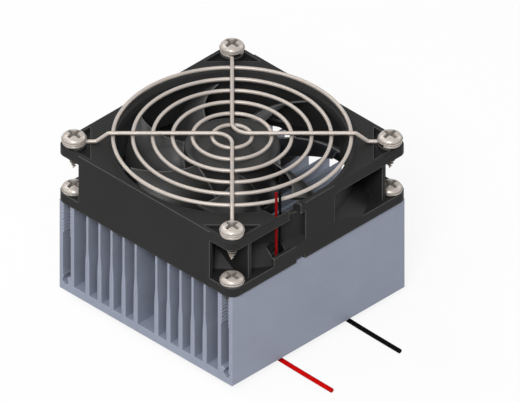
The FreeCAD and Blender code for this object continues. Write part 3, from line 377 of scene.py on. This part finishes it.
THREAD_PITCH = 1.4
THREAD_DEPTH = 1.1
THREAD_START = 0.3
THREAD_END = 12.5
THREAD_STEPS = 36
RIDGE_FOOT = 0.34
RIDGE_CREST = 0.05
POINT_CREST = 0.25
SHANK_RADIUS = 1.1
SCREW_LENGTH = 13.0
POINT_LENGTH = 5.0
HEAD_RADIUS = 4.72
HEAD_FOOT_RADIUS = 4.1
HEAD_HEIGHT = 3.0
RIM_HEIGHT = 0.95
GROOVE_DEPTH = 0.2
FOOT_ROUND = 0.35
RIM_ROUND = 0.12
DOME_RADIUS = 4.52
DOME_FULLNESS = 0.8
DOME_STEPS = 16
RECESS_DEPTH = 2.3
# Height, reach and half width of the recess's arms, from its bottom up
RECESS_LEVELS = ((HEAD_HEIGHT - RECESS_DEPTH, 1.3, 0.45), (HEAD_HEIGHT - 0.6 * RECESS_DEPTH, 2.85, 0.62),
                 (HEAD_HEIGHT + 0.4, 3.3, 0.74))
RECESS_WEB = 1.35
HEAD_EDGE = 0.07
HOLE_LINE = 41.25
CORNERS = ((1, 1), (-1, 1), (-1, -1), (1, -1))
SEATS = {"guard_screws": 70.4, "fan_screws": 47.9}


def thread():
    """A helical ridge that narrows with the screw's point."""
    length = THREAD_END - THREAD_START
    steps = int(length / THREAD_PITCH * THREAD_STEPS)
    rings = []
    for i in range(steps + 1):
        depth = THREAD_START + length * i / steps
        angle = 2 * math.pi * i / THREAD_STEPS
        narrowing = min(1.0, (SCREW_LENGTH - depth) / POINT_LENGTH)
        run_in = min(1.0, i / THREAD_STEPS)
        root = SHANK_RADIUS * narrowing
        foot = root * 0.95
        crest = root + THREAD_DEPTH * run_in * (POINT_CREST + (1 - POINT_CREST) * narrowing)
        section = ((foot, RIDGE_FOOT), (crest, RIDGE_CREST), (crest, -RIDGE_CREST), (foot, -RIDGE_FOOT))
        rings.append([(radius * math.cos(angle), radius * math.sin(angle), rise - depth)
                      for radius, rise in section])
    return strip(rings, caps=True)


def shank():
    """The core of the screw under its head, down to the point."""
    profile = [(0.05, 0.4 - SCREW_LENGTH), (SHANK_RADIUS, POINT_LENGTH - SCREW_LENGTH),
               (SHANK_RADIUS, 0.2)]
    return turned(profile, 32)


def head_blank():
    """A pan head: a rim, a narrow groove, and a low dome above it."""
    groove = RIM_HEIGHT - GROOVE_DEPTH
    profile = [(HEAD_FOOT_RADIUS, 0.0)]
    profile += rounded((HEAD_RADIUS - FOOT_ROUND, 0.4), FOOT_ROUND, -70, 0, 5)
    profile += rounded((HEAD_RADIUS - RIM_ROUND, RIM_HEIGHT - RIM_ROUND), RIM_ROUND, 0, 80, 4)
    profile += [(HEAD_RADIUS - 0.32, groove), (HEAD_RADIUS - 0.36, groove)]
    profile.append((DOME_RADIUS - 0.04, RIM_HEIGHT))
    rise = HEAD_HEIGHT - RIM_HEIGHT
    for i in range(1, DOME_STEPS):
        turn = math.pi / 2 * i / DOME_STEPS
        radius = DOME_RADIUS * math.cos(turn) ** DOME_FULLNESS
        profile.append((radius, RIM_HEIGHT + rise * math.sin(turn)))
    profile.append((0.3, HEAD_HEIGHT))
    return turned(profile, 72)


def cross_cutter():
    """A cross with winged arms that narrow towards the bottom."""
    rings = []
    for height, reach, half in RECESS_LEVELS:
        ring = []
        for quarter in range(4):
            turn = Matrix.Rotation(math.pi / 2 * quarter, 3, "Z")
            inner = half * RECESS_WEB
            for spot in ((reach, -half), (reach, half), (inner, inner)):
                ring.append(tuple(turn @ Vector((*spot, height))))
        rings.append(ring)
    return strip(rings, caps=True)


def loose_object(name, shape):
    """A form that is cut or cuts, in millimetres."""
    mesh = bpy.data.meshes.new(name)
    mesh.from_pydata(shape[0], [], shape[1])
    thing = bpy.data.objects.new(name, mesh)
    bpy.context.scene.collection.objects.link(thing)
    return thing


def cut_head():
    """The head with its recess, as points and faces."""
    blank = loose_object("head_blank", head_blank())
    cutter = loose_object("cross_cutter", cross_cutter())
    cut = blank.modifiers.new("recess", "BOOLEAN")
    cut.operation = "DIFFERENCE"
    cut.solver = "EXACT"
    cut.object = cutter
    bevel = blank.modifiers.new("edges", "BEVEL")
    bevel.width = HEAD_EDGE
    bevel.segments = 2
    bevel.limit_method = "ANGLE"
    bevel.angle_limit = math.radians(38)
    graph = bpy.context.evaluated_depsgraph_get()
    result = bpy.data.meshes.new_from_object(blank.evaluated_get(graph))
    points = [tuple(vertex.co) for vertex in result.vertices]
    faces = [tuple(polygon.vertices) for polygon in result.polygons]
    for thing in (blank, cutter):
        bpy.data.objects.remove(thing)
    return points, faces


def screws(material):
    """Four screws in the upper flange and four in the lower one."""
    points, faces = joined([cut_head(), shank(), thread()])
    for node, seat in SEATS.items():
        for number, (sx, sy) in enumerate(CORNERS, start=1):
            place = Vector((sx * HOLE_LINE, sy * HOLE_LINE, seat))
            piece = add_mesh("%s_%d" % (node, number), [Vector(point) + place for point in points],
                             faces, material, "base", "plated_wire")
            piece.data.set_sharp_from_angle(angle=math.radians(35))
            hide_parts(node)


screws(screw_steel)


# Finger guard

WIRE_RADIUS = 0.745
WIRE_SIDES = 14
RING_STEPS = (80, 100, 120, 140, 160, 180)
RING_RADIUS = 44.0
RING_LEVEL = 71.9
STRUT_LEVEL = 73.4
LOW_LEVEL = 69.65
LEG_START = 50.2
LEG_END = 45.6
LOOP_RADIUS = 3.7
NECK_RADIUS = 2.0
LOOP_TURN = 285.0
LOOP_STEPS = 48
NECK_STEPS = 8
# Radius and steps of each bend, from one corner to the other
STRUT_BENDS = ((1.6, 6), (1.6, 6), (6.5, 24), (1.6, 6), (1.6, 6))


def wire_mesh(points, closed=False):
    """A round wire along points that lie close together."""
    count = len(points)
    turns = [2 * math.pi * k / WIRE_SIDES for k in range(WIRE_SIDES)]
    rings = []
    for i, point in enumerate(points):
        before = points[i - 1] if closed or i else point
        after = points[(i + 1) % count] if closed or i < count - 1 else point
        way = (after - before).normalized()
        side = way.cross(UP).normalized()
        above = side.cross(way)
        rings.append([point + (side * math.cos(a) + above * math.sin(a)) * WIRE_RADIUS for a in turns])
    return strip(rings, closed_along=closed, caps=not closed)


def arc(centre, start, degrees, steps, axis=UP):
    """Points of an arc that begins at a start and turns round an axis."""
    return [centre + Matrix.Rotation(math.radians(degrees * i / steps), 3, axis) @ (start - centre)
            for i in range(steps + 1)]


def bend(before, corner, after, radius, steps):
    """Points of a tangent arc in place of a corner."""
    inward = (corner - before).normalized()
    outward = (after - corner).normalized()
    half_turn = inward.angle(outward) / 2
    enter = corner - inward * (radius * math.tan(half_turn))
    centre = corner + (outward - inward).normalized() * (radius / math.cos(half_turn))
    return arc(centre, enter, math.degrees(2 * half_turn), steps, inward.cross(outward).normalized())


def signed_angle(first, second):
    """Degrees from one flat direction to another, seen from above."""
    return math.degrees(math.atan2(first.cross(second).z, first.dot(second)))


def eyelet(corner):
    """The neck and loop round a corner screw, from the straight wire to the cut end."""
    along = Vector((*corner, 0)).normalized()
    across = Vector((-along.y, along.x, 0))
    centre = along * (HOLE_LINE * math.sqrt(2)) + UP * LOW_LEVEL
    start = centre - along * math.sqrt(LOOP_RADIUS ** 2 + 2 * LOOP_RADIUS * NECK_RADIUS)
    neck_centre = start + across * NECK_RADIUS
    meet = centre + (neck_centre - centre).normalized() * LOOP_RADIUS
    neck_turn = signed_angle(start - neck_centre, meet - neck_centre)
    loop_turn = math.copysign(LOOP_TURN, signed_angle(meet - centre, along))
    neck = arc(neck_centre, start, neck_turn, NECK_STEPS)
    return neck + arc(centre, meet, loop_turn, LOOP_STEPS)[1:]


def strut(name, node, first, second, material):
    """A bent wire from one corner over the rings' centre to the next corner."""
    high = UP * STRUT_LEVEL
    legs = []
    for corner in (first, second):
        along = Vector((*corner, 0)).normalized()
        foot = along * LEG_START + UP * LOW_LEVEL
        legs.append([eyelet(corner)[0], foot, along * LEG_END + high])
    corners = legs[0] + [high] + legs[1][::-1]
    points = eyelet(first)[::-1]
    for i, (radius, steps) in enumerate(STRUT_BENDS):
        points += bend(*corners[i:i + 3], radius, steps)
    points += eyelet(second)
    piece = add_mesh(name, *wire_mesh(points), material, "base", "plated_wire")
    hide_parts(node)


def guard(material):
    """Rings of wire at even steps, with two struts over them."""
    for number, steps in enumerate(RING_STEPS, start=1):
        radius = RING_RADIUS * number / len(RING_STEPS)
        turns = [2 * math.pi * k / steps for k in range(steps)]
        points = [Vector((radius * math.cos(a), radius * math.sin(a), RING_LEVEL)) for a in turns]
        piece = add_mesh("guard_wire_%d" % number, *wire_mesh(points, closed=True), material, "base",
                         "plated_wire")
        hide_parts("guard_ring_%d" % number)
    strut("guard_cross_left", "guard_strut_left", (-1, -1), (1, -1), material)
    strut("guard_cross_right", "guard_strut_right", (1, 1), (-1, 1), material)


guard(wire)


# Impeller

HUB_RADIUS = 17.8
HUB_TOP = 68.3
HUB_CEILING = 66.95
HUB_FOOT = 49.3
DISH_RADIUS = 9.0
DISH_DEPTH = 0.1
YOKE_RADIUS = 16.6
TIP_RADIUS = 39.88
BLADE_TOP = 67.5
BLADE_HEIGHT = 16.6
BLADE_COUNT = 7
BLADE_SPAN = math.radians(28.5)
BLADE_ANGLE = math.radians(61.5)
BLADE_SWEEP = math.radians(22.5)
SWEEP_POWER = 1.44
BLADE_CAMBER = 0.09
BLADE_THICKNESS = 1.3
EDGE_FULLNESS = 5.5
TIP_THICKNESS = 0.9
ROOT_SWELL = 0.8
ROOT_REACH = 0.8
BLADE_STEPS = 24
SECTION_STEPS = 22


def blade_section(radius, thickness):
    """A cambered section with round edges, wrapped round the axis and swept forward."""
    share = (radius - YOKE_RADIUS) / (TIP_RADIUS - YOKE_RADIUS)
    half_span = BLADE_SPAN / 2
    angle = BLADE_ANGLE + half_span - BLADE_SWEEP * share ** SWEEP_POWER
    leading = Vector((-radius * half_span, BLADE_TOP))
    trailing = Vector((radius * half_span, BLADE_TOP - BLADE_HEIGHT))
    chord = trailing - leading
    across = Vector((-chord.y, chord.x)).normalized()
    flanks = ([], [])
    for i in range(SECTION_STEPS + 1):
        along = (1 - math.cos(math.pi * i / SECTION_STEPS)) / 2
        arch = 4 * along * (1 - along)
        edge = min(1.0, EDGE_FULLNESS * math.sqrt(max(0.0, along * (1 - along))))
        camber = chord.length * BLADE_CAMBER * arch
        half_thick = thickness * (0.3 + 0.2 * arch) * edge
        for flank, side in zip(flanks, (1, -1)):
            flank.append(leading + chord * along + across * (camber + side * half_thick))
    wrapped = []
    for spot in flanks[0] + flanks[1][-2:0:-1]:
        turn = angle + spot.x / radius
        wrapped.append((radius * math.cos(turn), radius * math.sin(turn), spot.y))
    return wrapped


def blade():
    """One blade from inside the hub's wall to its tip, thicker where it leaves the hub."""
    root = HUB_RADIUS - 0.5
    rings = []
    for i in range(BLADE_STEPS + 1):
        radius = root + (TIP_RADIUS - root) * i / BLADE_STEPS
        swell = min(1.0, math.exp((HUB_RADIUS - radius) / ROOT_REACH))
        rings.append(blade_section(radius, BLADE_THICKNESS * (1 + ROOT_SWELL * swell)))
    rings.append(blade_section(TIP_RADIUS, TIP_THICKNESS))
    return strip(rings, caps=True)


def impeller(material):
    """The hub, open below and slightly dished on top, with its blades."""
    wall = YOKE_RADIUS + 0.05
    dish = HUB_TOP - DISH_DEPTH
    hub = [(0.4, dish), (DISH_RADIUS, dish), (DISH_RADIUS + 0.4, HUB_TOP)]
    hub += rounded((HUB_RADIUS - 1.0, HUB_TOP - 1.0), 1.0, 90, 0, 8)
    hub += [(HUB_RADIUS, HUB_FOOT + 0.3), (HUB_RADIUS - 0.2, HUB_FOOT), (wall, HUB_FOOT),
            (wall, HUB_CEILING), (0.4, HUB_CEILING)]
    parts = [turned(hub, 120)]
    points, faces = blade()
    for i in range(BLADE_COUNT):
        turn = Matrix.Rotation(2 * math.pi * i / BLADE_COUNT, 3, "Z")
        parts.append(([tuple(turn @ Vector(point)) for point in points], faces))
    piece = add_mesh("impeller_moulding", *joined(parts), material, "rotor", "black_plastic")
    piece.data.set_sharp_from_angle(angle=math.radians(40))
    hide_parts("impeller")


impeller(finishes["impeller"])


# Leads

def lead(name, node, points, diameter, material):
    """A round lead along points in metres, with filled caps at its ends."""
    curve = bpy.data.curves.new(name, "CURVE")
    curve.dimensions = "3D"
    curve.bevel_depth = diameter / 2
    curve.bevel_resolution = 5
    curve.resolution_u = 16
    curve.use_fill_caps = True
    spline = curve.splines.new("NURBS")
    spline.points.add(len(points) - 1)
    for point, place in zip(spline.points, points):
        point.co = (*place, 1.0)
    spline.order_u = 3
    spline.use_endpoint_u = True
    curve.materials.append(material)
    piece = bpy.data.objects.new(name, curve)
    bpy.context.scene.collection.objects.link(piece)
    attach(piece, "base")
    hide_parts(node)


ELEMENT_LEAD_OFFSET = 0.01775
ELEMENT_LEAD_WIDTH = 0.0018
for word, cover, side in (("red", red_cover, -1), ("black", black_cover, 1)):
    y = side * ELEMENT_LEAD_OFFSET
    lead("element_lead_" + word, "module_lead_" + word,
         [(0.0197, y, 0.00195), (0.03328, y, 0.00195), (0.05089, y + 0.0001, 0.00101),
          (0.07, y - 0.0001, 0.00096)],
         ELEMENT_LEAD_WIDTH, cover)

FAN_LEAD_WIDTH = 0.001
FAN_LEAD_ROUTES = {
    "red": [(0.01515, -0.00787, 0.04505), (0.02294, -0.01142, 0.04509), (0.0316, -0.01536, 0.04509),
            (0.04025, -0.01929, 0.04505), (0.044, -0.021, 0.04895), (0.04406, -0.021, 0.05794),
            (0.04408, -0.021, 0.06842), (0.044, -0.021, 0.0789)],
    "black": [(0.0159, -0.00621, 0.04505), (0.02349, -0.00967, 0.04509), (0.03192, -0.0135, 0.04509),
              (0.04035, -0.01734, 0.04505), (0.044, -0.019, 0.04895), (0.04406, -0.019, 0.05794),
              (0.04408, -0.019, 0.06842), (0.044, -0.019, 0.0789)],
}
# The motor's red lead takes the darker copy of the red cover, which is painted shade.
for word, cover, length in (("red", shaded_red_cover, 0.0627), ("black", black_cover, 0.0619)):
    lead("motor_lead_" + word, "fan_lead_" + word, FAN_LEAD_ROUTES[word], FAN_LEAD_WIDTH,
         cover)


# Floor, light and camera

FLOOR_HALF = 4.0
FLOOR_SHADE = (0.7, 0.7, 0.7, 1.0)
FLOOR_GLOW = 0.88
WHITE = (1, 1, 1, 1)
SKY_LIGHT = 0.17
# Place, size and power of each lamp
LAMPS = {
    "key": ((-0.2, -0.9, 1.3), 0.8, 6.5),
    "front": ((0.72, -1.05, 1.15), 0.45, 25.0),
    "side": ((0.95, -0.6, 1.2), 0.3, 4.0),
    "left": ((-1.0, -0.1, 1.0), 0.8, 7.0),
    "back": ((0.3, 1.4, 0.8), 0.8, 6.0),
}
VIEW_WIDTH = 0.1919
VIEW_LEVEL = 0.0039
VIEW_RIGHT = 0.0103
VIEW_UP = 0.0317


def background_rays(tree):
    """One for the rays that show the background: seen, mirrored and through glass."""
    path = tree.nodes.new("ShaderNodeLightPath")
    total = path.outputs["Is Camera Ray"]
    for kind in ("Is Glossy Ray", "Is Transmission Ray"):
        most = tree.nodes.new("ShaderNodeMath")
        most.operation = "MAXIMUM"
        tree.links.new(total, most.inputs[0])
        tree.links.new(path.outputs[kind], most.inputs[1])
        total = most.outputs[0]
    return total


def floor():
    """A plain pale floor that glows evenly where it is seen."""
    mesh = bpy.data.meshes.new("floor")
    corners = [(x * FLOOR_HALF, y * FLOOR_HALF, 0) for x, y in CORNERS]
    mesh.from_pydata(corners, [], [(0, 1, 2, 3)])
    piece = bpy.data.objects.new("floor", mesh)
    bpy.context.scene.collection.objects.link(piece)
    material = bpy.data.materials.new("pale_floor")
    material.use_nodes = True
    tree = material.node_tree
    shader = tree.nodes["Principled BSDF"]
    shader.inputs["Base Color"].default_value = FLOOR_SHADE
    shader.inputs["Roughness"].default_value = 0.9
    glow = tree.nodes.new("ShaderNodeEmission")
    glow.inputs["Color"].default_value = WHITE
    seen = tree.nodes.new("ShaderNodeMath")
    seen.operation = "MULTIPLY"
    seen.inputs[1].default_value = FLOOR_GLOW
    mix = tree.nodes.new("ShaderNodeMixShader")
    output = tree.nodes["Material Output"]
    tree.links.new(background_rays(tree), seen.inputs[0])
    tree.links.new(seen.outputs[0], mix.inputs["Fac"])
    tree.links.new(shader.outputs[0], mix.inputs[1])
    tree.links.new(glow.outputs[0], mix.inputs[2])
    tree.links.new(mix.outputs[0], output.inputs["Surface"])
    mesh.materials.append(material)


def area_light(name, place, size, power):
    """A soft square lamp that points at the middle of the floor."""
    data = bpy.data.lights.new(name, "AREA")
    data.size = size
    data.energy = power
    lamp = bpy.data.objects.new(name, data)
    lamp.location = place
    lamp.rotation_euler = (-Vector(place)).to_track_quat("-Z", "Y").to_euler()
    bpy.context.scene.collection.objects.link(lamp)


def world_light():
    """A white background, with a dimmer even light from all round."""
    world = bpy.data.worlds.new("studio")
    bpy.context.scene.world = world
    world.use_nodes = True
    tree = world.node_tree
    background = tree.nodes["Background"]
    background.inputs["Color"].default_value = WHITE
    strength = tree.nodes.new("ShaderNodeMapRange")
    strength.inputs["To Min"].default_value = SKY_LIGHT
    strength.inputs["To Max"].default_value = 1.0
    tree.links.new(background_rays(tree), strength.inputs["Value"])
    tree.links.new(strength.outputs["Result"], background.inputs["Strength"])


def camera():
    """The photo's isometric view."""
    right = Vector((1, 1, 0)).normalized()
    back = Vector((1, -1, 1)).normalized()
    up = back.cross(right)
    aim = UP * VIEW_LEVEL + right * VIEW_RIGHT + up * VIEW_UP
    data = bpy.data.cameras.new("camera")
    data.type = "ORTHO"
    data.ortho_scale = VIEW_WIDTH
    data.clip_end = 20
    eye = bpy.data.objects.new("camera", data)
    bpy.context.scene.collection.objects.link(eye)
    turn = Matrix((right, up, back)).transposed().to_4x4()
    eye.matrix_world = Matrix.Translation(aim + back) @ turn
    bpy.context.scene.camera = eye


floor()
for name, lamp in LAMPS.items():
    area_light(name, *lamp)
world_light()
camera()
bpy.context.scene.view_settings.view_transform = "Standard"
